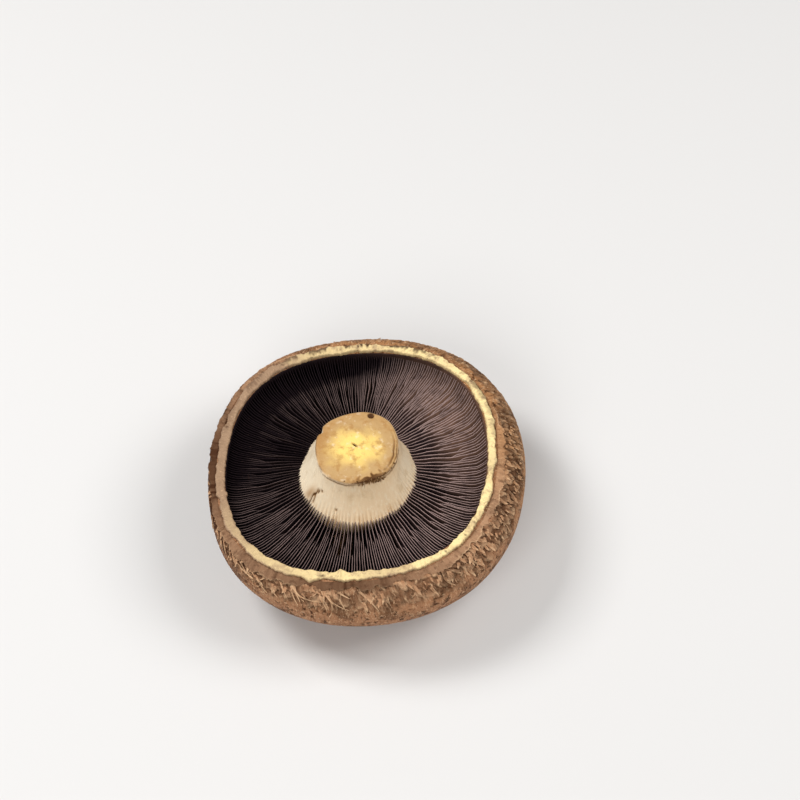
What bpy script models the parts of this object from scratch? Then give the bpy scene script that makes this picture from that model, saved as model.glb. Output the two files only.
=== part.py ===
"""A brown mushroom as picked, lying on its cap with its gills and stem up.

Lengths are in metres, +Z is up, and the origin is the middle of the flat spot that the cap lies on.
The cap, the gills and the stem are one object each. The gills are one comb of upright blades.
"""

import math

import bmesh
import bpy
from mathutils import Vector

# The gap between neighbouring solids
GAP = 0.0003

# The dome of the cap, below its widest outline
CAP_RADIUS = 0.0473
CAP_OVAL = 0.0016
CAP_SQUARE = 0.0006
WIDEST_HEIGHT = 0.0207
DOME_POWER = 2.15
REST_RADIUS = 0.0093

# The rim, where the skin has rolled in over the pale margin
RIM_HEIGHT = 0.0303
RIM_RADIUS = 0.0378
RIM_OVAL = 0.0010
RIM_SQUARE = 0.0011
RIM_WIDTH = 0.0030
RIM_ROUNDING = 0.0009
RIM_LIFT = 0.0023
RIM_CENTRE = Vector((-0.0028, -0.0002, 0.0))

# Directions round the cap, counter-clockwise from +X
CAP_OVAL_AZIMUTH = math.radians(65)
RIM_OVAL_AZIMUTH = math.radians(42)
SQUARE_AZIMUTH = math.radians(45)
LIFT_AZIMUTH = math.radians(50)

# The flesh under the gills: a level seat below the stem, then a shallow trough
SEAT_HEIGHT = 0.0205
SEAT_RADIUS = 0.0169
FLOOR_OUTER_HEIGHT = 0.0190
FLOOR_DIP = 0.0015

# The gills, which run straight out from the stem and bend round a little towards the rim
GILL_COUNT = 96
GILL_PLATE = 0.0012
GILL_INNER_HEIGHT = 0.0268
GILL_OUTER_HEIGHT = 0.0262
GILL_SWIRL = math.radians(7)
SWIRL_AZIMUTH = math.radians(10)

# The stem, flared at its foot and cut off at its top
STEM_CENTRE = Vector((-0.0028, -0.0026, 0.0))
STEM_FOOT_RADIUS = 0.0161
STEM_TOP_RADIUS = 0.0121
STEM_FLARE_HEIGHT = 0.0250
STEM_TOP_HEIGHT = 0.0384
STEM_FLARE_POWER = 1.6
STEM_EDGE_ROUNDING = 0.0006
CUT_CROWN = 0.0008
CUT_TILT = math.radians(3)

# How finely the round shapes are divided
CAP_STEPS = 72
DOME_STEPS = 11
SHOULDER_STEPS = 5
CREST_STEPS = 4
FLOOR_STEPS = 4
GILL_STEPS = 4
STEM_STEPS = 48
STEM_SIDE_STEPS = 6
MERGE_DISTANCE = 0.000001
SHARE_LAYER = "rim_share"
SHARP_ANGLE = math.radians(40)


def mix(a, b, share):
    """The value that lies a share of the way from a to b."""
    return a + (b - a) * share


def lobes(azimuth, mean, oval, oval_azimuth, square):
    """Radius of a closed outline that is slightly oval and slightly square."""
    swell = oval * math.cos(2 * (azimuth - oval_azimuth))
    corner = square * math.cos(4 * (azimuth - SQUARE_AZIMUTH))
    return mean + swell + corner


def cap_outline(azimuth):
    """Widest radius of the dome in one direction."""
    return lobes(azimuth, CAP_RADIUS, CAP_OVAL, CAP_OVAL_AZIMUTH, CAP_SQUARE)


def rim_outline(azimuth):
    """Inner radius of the rim in one direction."""
    return lobes(azimuth, RIM_RADIUS, RIM_OVAL, RIM_OVAL_AZIMUTH, RIM_SQUARE)


def level(reach, azimuth):
    """A level vector of this length in this direction."""
    return Vector((reach * math.cos(azimuth), reach * math.sin(azimuth), 0.0))


def dome_point(radius, azimuth):
    """Place on the dome of a point that a plain round dome has at this radius, the crown staying round."""
    share = (radius / CAP_RADIUS) ** 2
    return level(radius + share * (cap_outline(azimuth) - CAP_RADIUS), azimuth)


def seat_reach(azimuth):
    """Distance from the rim's centre, in one direction, to the ring round the stem's foot."""
    offset = STEM_CENTRE - RIM_CENTRE
    along = offset.dot(level(1.0, azimuth))
    return along + math.sqrt(SEAT_RADIUS ** 2 - offset.length_squared + along ** 2)


def trough_point(share, azimuth):
    """Place in the hollow, from the ring round the stem's foot (share 0) out to the rim (share 1)."""
    return RIM_CENTRE + level(mix(seat_reach(azimuth), rim_outline(azimuth), share), azimuth)


def lifted(height, azimuth, share=1.0):
    """Height after the rim's tilt, which fades out down to the flesh under the gills."""
    rise = max(height - SEAT_HEIGHT, 0.0) / (RIM_HEIGHT - SEAT_HEIGHT)
    return height + RIM_LIFT * rise * share * math.cos(azimuth - LIFT_AZIMUTH)


def floor_height(share):
    """Height of the flesh that carries the gills, from the stem's foot (0) out to the rim (1)."""
    return mix(SEAT_HEIGHT, FLOOR_OUTER_HEIGHT, share) - FLOOR_DIP * math.sin(math.pi * share)


def trough_share(radius):
    """Share of the way from the stem's foot to the rim, in a plain round hollow."""
    return (radius - SEAT_RADIUS) / (RIM_RADIUS - SEAT_RADIUS)


def dome_profile():
    """The dome from the middle of the resting spot out to the widest outline."""
    points = [(0.0, 0.0)]
    power = 2 / DOME_POWER
    for step in range(DOME_STEPS + 1):
        turn = math.pi / 2 * step / DOME_STEPS
        radius = REST_RADIUS + (CAP_RADIUS - REST_RADIUS) * math.sin(turn) ** power
        height = WIDEST_HEIGHT * (1 - max(math.cos(turn), 0.0) ** power)
        points.append((radius, height))
    return points


def shoulder_profile():
    """The rolled-in skin from the widest outline up to the margin."""
    points = []
    margin_radius = RIM_RADIUS + RIM_WIDTH
    margin_height = RIM_HEIGHT - RIM_ROUNDING
    for step in range(1, SHOULDER_STEPS + 1):
        turn = math.pi / 2 * step / SHOULDER_STEPS
        radius = mix(margin_radius, CAP_RADIUS, math.cos(turn))
        height = mix(WIDEST_HEIGHT, margin_height, math.sin(turn))
        points.append((radius, height))
    return points


def shoulder_shares():
    """How far each point of the shoulder follows the rim's outline instead of the dome's."""
    return [math.sin(math.pi / 2 * step / SHOULDER_STEPS) ** 2 for step in range(1, SHOULDER_STEPS + 1)]


def crest_profile():
    """The rounded crest of the margin, from its outer edge to its inner edge."""
    points = []
    half_width = RIM_WIDTH / 2
    for step in range(1, CREST_STEPS + 1):
        turn = math.pi * step / CREST_STEPS
        radius = RIM_RADIUS + half_width * (1 + math.cos(turn))
        height = RIM_HEIGHT - RIM_ROUNDING * (1 - math.sin(turn))
        points.append((radius, height))
    return points


def floor_profile():
    """The trough under the gills, from the rim's inner wall in to the middle."""
    points = []
    for step in range(FLOOR_STEPS + 1):
        radius = mix(RIM_RADIUS, SEAT_RADIUS, step / FLOOR_STEPS)
        points.append((radius, floor_height(trough_share(radius))))
    points.append((0.0, SEAT_HEIGHT))
    return points


def cap_place(radius, azimuth, share):
    """Place of a point of the round cap that follows the rim by this share, and the dome by the rest."""
    if radius < SEAT_RADIUS and share == 1.0:
        return STEM_CENTRE
    across_rim = max(radius - RIM_RADIUS, 0.0)
    rim_place = trough_point(min(trough_share(radius), 1.0), azimuth) + level(across_rim, azimuth)
    return dome_point(radius, azimuth).lerp(rim_place, share)


def stem_profile():
    """The stem from the middle of its seat, out round the foot and up to the middle of the cut."""
    seat = SEAT_HEIGHT + GAP
    points = [(0.0, seat), (STEM_FOOT_RADIUS, seat)]
    side_top = STEM_TOP_HEIGHT - STEM_EDGE_ROUNDING
    for step in range(STEM_SIDE_STEPS + 1):
        share = step / STEM_SIDE_STEPS
        radius = mix(STEM_TOP_RADIUS, STEM_FOOT_RADIUS, (1 - share) ** STEM_FLARE_POWER)
        points.append((radius, mix(STEM_FLARE_HEIGHT, side_top, share)))
    points.append((STEM_TOP_RADIUS - STEM_EDGE_ROUNDING, STEM_TOP_HEIGHT))
    points.append((STEM_TOP_RADIUS / 2, STEM_TOP_HEIGHT + CUT_CROWN * 3 / 4))
    points.append((0.0, STEM_TOP_HEIGHT + CUT_CROWN))
    return points


def turned(profile, steps, shares=None):
    """A profile of (radius, height) points, turned once round the Z axis, with a share for each point."""
    bm = bmesh.new()
    layer = bm.verts.layers.float.new(SHARE_LAYER)
    verts = [bm.verts.new((radius, 0.0, height)) for radius, height in profile]
    for vert, share in zip(verts, shares or []):
        vert[layer] = share
    edges = [bm.edges.new(pair) for pair in zip(verts, verts[1:])]
    bmesh.ops.spin(bm, geom=verts + edges, axis=(0, 0, 1), cent=(0, 0, 0),
                   angle=math.tau, steps=steps, use_merge=True)
    bmesh.ops.remove_doubles(bm, verts=bm.verts, dist=MERGE_DISTANCE)
    return bm


def material(name, colour, roughness):
    """A plain material with the part's colour."""
    made = bpy.data.materials.new(name)
    made.use_nodes = True
    shader = made.node_tree.nodes["Principled BSDF"]
    shader.inputs["Base Color"].default_value = (*colour, 1.0)
    shader.inputs["Roughness"].default_value = roughness
    shader.inputs["Metallic"].default_value = 0.0
    return made


def finished(bm, name, colour, roughness):
    """Turn a bmesh into a named object with its own material."""
    bmesh.ops.recalc_face_normals(bm, faces=bm.faces)
    mesh = bpy.data.meshes.new(name)
    bm.to_mesh(mesh)
    bm.free()
    mesh.materials.append(material(name, colour, roughness))
    mesh.shade_smooth()
    mesh.set_sharp_from_angle(angle=SHARP_ANGLE)
    piece = bpy.data.objects.new(name, mesh)
    bpy.context.scene.collection.objects.link(piece)
    return piece


def make_cap():
    """The cap: a turned bowl whose dome and rim then take their own outlines and centres."""
    dome = dome_profile()
    inside = crest_profile() + floor_profile()
    shares = [0.0] * len(dome) + shoulder_shares() + [1.0] * len(inside)
    bm = turned(dome + shoulder_profile() + inside, CAP_STEPS, shares)
    layer = bm.verts.layers.float[SHARE_LAYER]
    for vert in bm.verts:
        radius = vert.co.xy.length
        azimuth = math.atan2(vert.co.y, vert.co.x)
        place = cap_place(radius, azimuth, vert[layer])
        vert.co = (place.x, place.y, lifted(vert.co.z, azimuth))
    return finished(bm, "cap", (0.30, 0.175, 0.105), 0.62)


def make_gills():
    """The gills: a thin plate, with every second strip of it drawn up into a blade."""
    outer_share = trough_share(RIM_RADIUS - GAP)
    bm = bmesh.new()
    layer = bm.verts.layers.float.new(SHARE_LAYER)
    verts = []
    for step in range(GILL_STEPS + 1):
        share = outer_share * step / GILL_STEPS
        verts.append(bm.verts.new((1.0 + share, 0.0, floor_height(share) + GAP)))
        verts[-1][layer] = share
    edges = [bm.edges.new(pair) for pair in zip(verts, verts[1:])]
    bmesh.ops.spin(bm, geom=verts + edges, axis=(0, 0, 1), cent=(0, 0, 0),
                   angle=math.tau, steps=2 * GILL_COUNT, use_merge=True)
    plate = bmesh.ops.extrude_face_region(bm, geom=bm.faces[:], use_keep_orig=True)["geom"]
    top_verts = [item for item in plate if isinstance(item, bmesh.types.BMVert)]
    bmesh.ops.translate(bm, verts=top_verts, vec=(0, 0, GILL_PLATE))
    strips = []
    for face in (item for item in plate if isinstance(item, bmesh.types.BMFace)):
        middle = face.calc_center_median()
        strip = int(math.atan2(middle.y, middle.x) % math.tau / math.tau * 2 * GILL_COUNT)
        if strip % 2 == 0:
            strips.append(face)
    blades = bmesh.ops.extrude_face_region(bm, geom=strips)["geom"]
    bmesh.ops.delete(bm, geom=strips, context="FACES_ONLY")
    for vert in (item for item in blades if isinstance(item, bmesh.types.BMVert)):
        vert.co.z = mix(GILL_INNER_HEIGHT, GILL_OUTER_HEIGHT, vert[layer])
    for vert in bm.verts:
        azimuth = math.atan2(vert.co.y, vert.co.x)
        share = vert[layer]
        azimuth += GILL_SWIRL * share ** 2 * (1 + math.cos(azimuth - SWIRL_AZIMUTH)) / 2
        place = trough_point(share, azimuth)
        vert.co = (place.x, place.y, lifted(vert.co.z, azimuth, share))
    return finished(bm, "gills", (0.055, 0.036, 0.034), 0.70)


def make_stem():
    """The stem: a turned, flared stump whose cut face leans a little to the front."""
    bm = turned(stem_profile(), STEM_STEPS)
    for vert in bm.verts:
        rise = (vert.co.z - STEM_FLARE_HEIGHT) / (STEM_TOP_HEIGHT - STEM_FLARE_HEIGHT)
        vert.co.z += vert.co.y * math.tan(CUT_TILT) * min(max(rise, 0.0), 1.0)
    bmesh.ops.translate(bm, verts=bm.verts, vec=STEM_CENTRE)
    return finished(bm, "stem", (0.66, 0.50, 0.30), 0.58)


def main():
    """Empty the scene, then make the three pieces."""
    for old in list(bpy.data.objects):
        bpy.data.objects.remove(old, do_unlink=True)
    make_cap()
    make_gills()
    make_stem()


main()
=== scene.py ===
import math
from bisect import bisect_right
from random import Random

import bmesh
import bpy
from bpy.props import FloatProperty, FloatVectorProperty, IntProperty, PointerProperty
from bpy.types import Operator, Panel, PropertyGroup
from mathutils import Matrix, Vector, noise


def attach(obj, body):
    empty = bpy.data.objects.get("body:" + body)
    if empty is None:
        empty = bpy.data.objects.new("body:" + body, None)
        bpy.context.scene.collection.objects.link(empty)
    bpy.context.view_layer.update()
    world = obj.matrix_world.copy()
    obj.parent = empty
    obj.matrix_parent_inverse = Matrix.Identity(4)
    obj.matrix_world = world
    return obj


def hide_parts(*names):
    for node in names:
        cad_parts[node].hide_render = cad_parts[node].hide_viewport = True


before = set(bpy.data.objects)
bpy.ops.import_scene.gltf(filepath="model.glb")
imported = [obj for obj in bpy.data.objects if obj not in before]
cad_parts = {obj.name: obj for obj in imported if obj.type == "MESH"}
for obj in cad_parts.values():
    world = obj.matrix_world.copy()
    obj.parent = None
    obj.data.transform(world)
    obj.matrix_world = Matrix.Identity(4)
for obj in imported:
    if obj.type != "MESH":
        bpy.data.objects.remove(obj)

bl_info = {
    "name": "Brown mushroom",
    "version": (1, 0, 0),
    "blender": (4, 5, 0),
    "location": "View3D > Sidebar > Mushroom",
    "description": "A large brown mushroom as picked, lying on its cap with its gills and stem up",
    "category": "Object",
}

MM = 0.001
UP = Vector((0.0, 0.0, 1.0))
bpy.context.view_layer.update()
BODY = "root"
MERGE_DISTANCE = 0.000001
NOISE_DRUM = 47.0           # radius in mm of the drum on which noise is read, so that it closes round
BELT_STARTS = (1.2, 2.8)    # mm down the skin between which the torn belt sets in
BELT_ENDS = (7.0, 10.5)     # mm down the skin between which it fades out


def length(name, metres, description):
    """A length that the user can change."""
    return FloatProperty(name=name, description=description, default=metres, unit="LENGTH", precision=5)


def turn(name, degrees, description):
    """An angle that the user can change."""
    return FloatProperty(name=name, description=description, default=math.radians(degrees), unit="ROTATION")


def plain(name, value, description, kind="NONE"):
    """A number without a unit that the user can change."""
    return FloatProperty(name=name, description=description, default=value, subtype=kind)


def count(name, value, description):
    """A whole number that the user can change."""
    return IntProperty(name=name, description=description, default=value, min=1, subtype="UNSIGNED")


def place(name, metres, description):
    """A place in the part's own frame."""
    return FloatVectorProperty(name=name, description=description, default=metres, subtype="TRANSLATION",
                               unit="LENGTH", precision=5)


def colour(name, value, description):
    """A linear colour."""
    return FloatVectorProperty(name=name, description=description, default=value, subtype="COLOR",
                               min=0.0, max=1.0)


class CapSizes(PropertyGroup):
    radius: length("Cap radius", 0.0473, "Mean radius of the cap where it is widest")
    oval: length("Cap oval", 0.0016, "How much the cap's outline is drawn out one way")
    oval_turn: turn("Cap oval direction", 65, "Direction in which the cap is longest")
    square: length("Cap squareness", 0.0006, "How much the cap's outline swells at four corners")
    square_turn: turn("Corner direction", 45, "Direction of the first corner of cap and rim")
    widest_height: length("Widest height", 0.0207, "Height at which the cap is widest")
    dome_power: plain("Dome fullness", 2.15, "Power of the curve that the dome follows")
    rest_radius: length("Resting spot", 0.0093, "Radius of the flat spot that the cap lies on")
    rim_height: length("Rim height", 0.0303, "Mean height of the rim's crest")
    rim_radius: length("Rim radius", 0.0378, "Mean radius of the rim's inner edge")
    rim_oval: length("Rim oval", 0.0010, "How much the rim's outline is drawn out one way")
    rim_oval_turn: turn("Rim oval direction", 42, "Direction in which the rim is longest")
    rim_square: length("Rim squareness", 0.0011, "How much the rim's outline swells at four corners")
    rim_width: length("Rim width", 0.0030, "Width of the pale flesh on the rim")
    rim_rounding: length("Rim rounding", 0.0009, "Rounding of the rim's crest")
    rim_lift: length("Rim lift", 0.0023, "How much the rim rises on one side and sinks on the other")
    lift_turn: turn("Lift direction", 50, "Direction in which the rim stands highest")
    rim_centre: place("Rim centre", (-0.0028, -0.0002, 0.0), "Middle of the rim's outline")
    stem_centre: place("Stem centre", (-0.0028, -0.0026, 0.0), "Middle of the stem")
    seat_height: length("Seat height", 0.0205, "Height of the flesh below the stem")
    seat_radius: length("Seat radius", 0.0169, "Radius of the ring where the gills begin")
    floor_height: length("Outer floor height", 0.0190, "Height of the flesh under the gills at the rim")
    floor_dip: length("Floor dip", 0.0015, "Depth of the trough under the gills")
    skin_inset: length("Skin inset", 0.00022, "How far the skin's mean surface lies inside the solid cap")
    far_flat: length("Far flat", 0.0015, "How much the far side of the cap is flattened")
    left_flat: length("Left flat", 0.0008, "How much the left side of the cap is flattened")
    flakes: count("Flakes", 620, "Torn scales that are tried, of which the calm stretches leave some out")
    threads: count("Raised fibres", 60, "Loose fibres on the skin")
    steps: count("Steps round", 960, "Number of faces round the skin")


class GillSizes(PropertyGroup):
    full: count("Full gills", 144, "Gills that run all the way from the stem to the rim")
    thickness: length("Blade thickness", 0.00017, "Thickness of a blade")
    inner_height: length("Inner edge height", 0.0262, "Height of the free edges next to the stem")
    outer_height: length("Outer edge height", 0.0262, "Height of the free edges next to the rim")
    segments: count("Faces along a blade", 15, "Number of faces along one side of a blade")


class StemSizes(PropertyGroup):
    foot_radius: length("Foot radius", 0.0179, "Radius of the flared foot where it meets the gills")
    top_radius: length("Cut radius", 0.0120, "Mean radius of the cut face")
    top_oval: length("Cut oval", 0.0004, "How much the cut face is drawn out one way")
    top_oval_turn: turn("Cut oval direction", 58, "Direction in which the cut face is longest")
    flare_height: length("Flare height", 0.0247, "Height where the flared foot ends")
    top_height: length("Cut height", 0.0382, "Height of the edge of the cut face")
    flare_power: plain("Flare", 1.6, "Power of the curve that the flare follows")
    crown: length("Crown", 0.0007, "How much the middle of the cut face stands above its edge")
    cut_turn: turn("Cut tilt", 2, "How much the cut face leans to the front")
    lean: place("Lean", (0.0, 0.0004, 0.0), "How far the middle of the cut stands off the middle of the foot")
    crumbs: count("Crumbs", 50, "Crumbs of soil on the near edge of the cut")
    steps: count("Steps round", 420, "Number of faces round the stem")


class Finish(PropertyGroup):
    skin_mid: colour("Skin", (0.425, 0.208, 0.104), "Brown of the skin")
    # Also the colour of the painted shade in the skin's creases and pits and on its left.
    skin_dark: colour("Dark skin", (0.065, 0.024, 0.009), "Brown in the hollows of the skin")
    skin_light: colour("Light skin", (0.750, 0.490, 0.285), "Tan of raised fibres and torn edges")
    skin_red: colour("Low skin", (0.400, 0.178, 0.095), "Redder brown low on the cap")
    skin_gold: colour("Golden skin", (0.410, 0.190, 0.070), "Golden brown on the far right of the rim")
    collar: colour("Collar", (0.425, 0.236, 0.132), "Taupe of the smooth collar below the rim")
    flesh: colour("Rim flesh", (0.930, 0.730, 0.360), "Cream yellow of the rim")
    # Also the colour of the painted shade on the left of the rim.
    flesh_shade: colour("Shaded flesh", (0.360, 0.230, 0.140), "Tan of bruised flesh on the rim")
    gill_face: colour("Gill face", (0.205, 0.112, 0.075), "Taupe brown of a blade's side")
    # Also the colour of the painted shade on the blades, their edges and the bed.
    gill_old: colour("Old gill face", (0.012, 0.007, 0.009), "Purple brown of the darkest blades")
    gill_edge: colour("Gill edge", (0.430, 0.298, 0.272), "Pinkish grey of a blade's free edge")
    stem_side: colour("Stem side", (0.800, 0.575, 0.345), "Cream beige of the stem's side")
    # Also the colour of the painted light on the left and right of the stem's side.
    stem_pale: colour("Pale stem", (0.930, 0.800, 0.600), "Palest part of the stem's side")
    cut_middle: colour("Cut middle", (0.930, 0.650, 0.190), "Warm yellow of the middle of the cut")
    cut_edge: colour("Cut edge", (0.530, 0.335, 0.145), "Ochre of the outer part of the cut")
    cut_stain: colour("Cut stain", (0.420, 0.210, 0.065), "Orange brown stains on the cut and the foot")
    soil: colour("Soil", (0.075, 0.028, 0.007), "Dark brown of soil and old cuts")


class StageSizes(PropertyGroup):
    aim: place("Aim", (-0.0028, -0.0024, 0.0298), "Point that the camera measures its distance from")
    distance: length("Camera distance", 0.70, "Distance of the camera from the aim")
    elevation: turn("Camera elevation", 55, "Angle of the camera above the horizon")
    seen_width: length("Seen width", 0.226, "Width of the view at the aim")
    aim_across: plain("Aim across", 357, "Pixel across the 800 pixel wide photo where the aim shows", "PIXEL")
    aim_down: plain("Aim down", 465, "Pixel down the 800 pixel high photo where the aim shows", "PIXEL")
    floor: colour("Floor", (0.72, 0.71, 0.70), "Pale colour of the floor")
    room: colour("Room", (1.0, 0.98, 0.95), "Pale colour of the surroundings")
    room_light: plain("Room light", 0.16, "Strength of the light from the surroundings")


def mix(a, b, share):
    """The value that lies a share of the way from a to b."""
    return a + (b - a) * share


def smooth(low, high, value):
    """0 below low, 1 above high and a smooth step between them."""
    share = min(max((value - low) / (high - low), 0.0), 1.0)
    return share * share * (3 - 2 * share)


def bump(value, middle, width):
    """A bell that is 1 at the middle and falls off over the width."""
    return math.exp(-((value - middle) / width) ** 2)


def apart(azimuth, degrees):
    """Angle in degrees between an azimuth and a direction, from -180 to 180."""
    return (math.degrees(azimuth) - degrees + 180) % 360 - 180


def facing(azimuth, degrees, width):
    """A bell that is 1 in this direction and falls off over this many degrees to both sides."""
    return bump(apart(azimuth, degrees), 0, width)


def level(reach, azimuth):
    """A level vector of this length in this direction."""
    return Vector((reach * math.cos(azimuth), reach * math.sin(azimuth), 0.0))


def lobes(azimuth, mean, oval, oval_turn, square, square_turn):
    """Radius of a closed outline that is slightly oval and slightly square."""
    return mean + oval * math.cos(2 * (azimuth - oval_turn)) + square * math.cos(4 * (azimuth - square_turn))


def ragged(azimuth, rate, seed):
    """Smooth noise from -1 to 1 round a closed ring, with about rate swells in the ring."""
    ring = level(rate / math.tau, azimuth)
    return noise.noise(Vector((ring.x, ring.y, seed)))


def layered(azimuth, swells):
    """Noise round a ring, summed from swells of (strength, number in the ring, seed)."""
    return sum(strength * ragged(azimuth, rate, seed) for strength, rate, seed in swells)


def rough_at(at, waves):
    """Noise at a point, summed from waves of (strength, scale)."""
    return sum(strength * noise.noise(at * scale) for strength, scale in waves)


class Cap:
    """The cap's outlines and heights, which the skin, the rim, the gills and the stem follow."""

    def __init__(self, sizes):
        for name in CapSizes.__annotations__:
            value = getattr(sizes, name)
            setattr(self, name, value if isinstance(value, (int, float)) else Vector(value))
        self.margin_radius = self.rim_radius + self.rim_width
        self.margin_height = self.rim_height - self.rim_rounding
        self.known = {}
        self.outer = self.outer_profile()
        self.reaches = [0.0]
        for here, after in zip(self.outer, self.outer[1:]):
            self.reaches.append(self.reaches[-1] + math.hypot(after[0] - here[0], after[1] - here[1]))

    def ways(self, azimuth):
        """The cap's widest radius, the rim's radius and the seat's reach in one direction, kept for reuse."""
        key = round(azimuth, 5)
        if key not in self.known:
            self.known[key] = (self.cap_outline(azimuth), self.rim_outline(azimuth), self.seat_reach(azimuth))
        return self.known[key]

    def cap_outline(self, azimuth):
        """Widest radius of the dome in one direction."""
        flat = self.far_flat * facing(azimuth, 100, 50) + self.left_flat * facing(azimuth, 178, 35)
        outline = lobes(azimuth, self.radius, self.oval, self.oval_turn, self.square, self.square_turn)
        return outline - flat

    def rim_outline(self, azimuth):
        """Inner radius of the rim in one direction."""
        return lobes(azimuth, self.rim_radius, self.rim_oval, self.rim_oval_turn, self.rim_square,
                     self.square_turn)

    def seat_reach(self, azimuth):
        """Distance from the rim's centre, in one direction, to the ring round the stem's foot."""
        offset = self.stem_centre - self.rim_centre
        along = offset.dot(level(1.0, azimuth))
        return along + math.sqrt(self.seat_radius ** 2 - offset.length_squared + along ** 2)

    def trough_point(self, share, azimuth):
        """Place in the hollow, from the ring round the stem's foot (share 0) out to the rim (share 1)."""
        _, rim, seat = self.ways(azimuth)
        return self.rim_centre + level(mix(seat, rim, share), azimuth)

    def lifted(self, height, azimuth, share=1.0):
        """Height after the rim's tilt, which fades out down to the flesh under the gills."""
        rise = max(height - self.seat_height, 0.0) / (self.rim_height - self.seat_height)
        return height + self.rim_lift * rise * share * math.cos(azimuth - self.lift_turn)

    def floor(self, share):
        """Height of the flesh under the gills, from the stem's foot (0) out to the rim (1)."""
        return mix(self.seat_height, self.floor_height, share) - self.floor_dip * math.sin(math.pi * share)

    def outer_profile(self):
        """Points (radius, height, share that follows the rim) from the margin down to the crown."""
        points = []
        fine = 90
        for step in range(fine + 1):
            angle = math.pi / 2 * (1 - step / fine)
            radius = mix(self.margin_radius, self.radius, math.cos(angle))
            height = mix(self.widest_height, self.margin_height, math.sin(angle))
            points.append((radius, height, math.sin(angle) ** 2))
        power = 2 / self.dome_power
        for step in range(1, fine + 1):
            angle = math.pi / 2 * (1 - step / fine)
            radius = self.rest_radius + (self.radius - self.rest_radius) * math.sin(angle) ** power
            height = self.widest_height * (1 - math.cos(angle) ** power)
            points.append((radius, height, 0.0))
        points.append((0.0, 0.0, 0.0))
        return points

    def outer_at(self, reach):
        """Point of the outer profile at this distance along the skin from the margin."""
        after = min(max(bisect_right(self.reaches, reach), 1), len(self.outer) - 1)
        start = self.reaches[after - 1]
        share = min(max((reach - start) / (self.reaches[after] - start), 0.0), 1.0)
        return [mix(a, b, share) for a, b in zip(self.outer[after - 1], self.outer[after])]

    def cap_place(self, radius, height, follow, azimuth):
        """Place of a point of the round cap that follows the rim by a share, and the dome by the rest."""
        swell = (radius / self.radius) ** 2 * (self.ways(azimuth)[0] - self.radius)
        across_rim = max(radius - self.rim_radius, 0.0)
        trough = (radius - self.seat_radius) / (self.rim_radius - self.seat_radius)
        on_rim = self.trough_point(min(trough, 1.0), azimuth) + level(across_rim, azimuth)
        where = level(radius + swell, azimuth).lerp(on_rim, follow)
        where.z = self.lifted(height, azimuth)
        return where

    def skin_point(self, reach, azimuth):
        """Place on the plain skin at this distance from the margin."""
        return self.cap_place(*self.outer_at(reach), azimuth)

    def kept_inside(self, where):
        """The place, drawn in softly where it would stand out beyond the cap's widest outline."""
        azimuth = math.atan2(where.y, where.x)
        soft = 0.15 * MM
        radius = math.hypot(where.x, where.y)
        excess = radius - self.ways(azimuth)[0] + soft
        if excess <= 0:
            return where
        inside = radius - excess + soft * (1 - math.exp(-excess / soft))
        return Vector((where.x * inside / radius, where.y * inside / radius, where.z))

    def skin_frame(self, reach, azimuth):
        """Frame on the skin: X along the rim, Y down the cap and Z out of the skin."""
        small = 0.2 * MM
        here = self.skin_point(reach, azimuth)
        down = (self.skin_point(reach + small, azimuth) - here).normalized()
        along = (self.skin_point(reach, azimuth + 0.002) - here).normalized()
        out = along.cross(down).normalized()
        if out.dot(level(1.0, azimuth)) < 0:
            out.negate()
        along = down.cross(out).normalized()
        frame_matrix = Matrix((along, down, out)).transposed().to_4x4()
        frame_matrix.translation = here - out * self.skin_inset
        return frame_matrix


def skin_place(reach, azimuth):
    """A point in millimetres on a round drum, for noise that closes round the cap."""
    return Vector((NOISE_DRUM * math.cos(azimuth), NOISE_DRUM * math.sin(azimuth), reach / MM))


def torn_belt(at, azimuth):
    """How torn the skin is, from 0 to 1: a wandering belt below the collar with three calmer stretches."""
    wander = 1.6 * noise.noise(at * 0.22)
    belt = smooth(*BELT_STARTS, at.z + wander) * (1 - smooth(*BELT_ENDS, at.z + 1.5 * wander))
    calm_far = 0.7 * facing(azimuth, 118, 42)
    calm_right = 0.45 * facing(azimuth, 45, 30)
    calm_near = 0.4 * facing(azimuth, -92, 36)
    return belt * (1 - calm_far - calm_right - calm_near)


def fibre_ridges(at, across, down, seed):
    """Ridges of fibres that run down the skin, from -1 to 1, for noise scales across and down the cap."""
    return 1 - 2 * abs(noise.noise(Vector((at.x * across, at.y * across, at.z * down + seed))))


def scales(at):
    """How high a point stands in its overlapping scale and how deep in a crease, both from 0 to 1."""
    warp_round = 1.3 * noise.noise(at * 0.5)
    warp_down = 1.3 * noise.noise(at * 0.5 + Vector((7, 3, 5)))
    cell_at = Vector(((at.x + warp_round) * 0.55, (at.y + warp_round) * 0.55, (at.z + warp_down) * 0.26))
    distances, middles = noise.voronoi(cell_at)
    tilt = min(max((cell_at.z - middles[0].z) * 0.9 + 0.5, 0.0), 1.0)
    return tilt * tilt, smooth(0.25, 0.0, distances[1] - distances[0])


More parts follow.
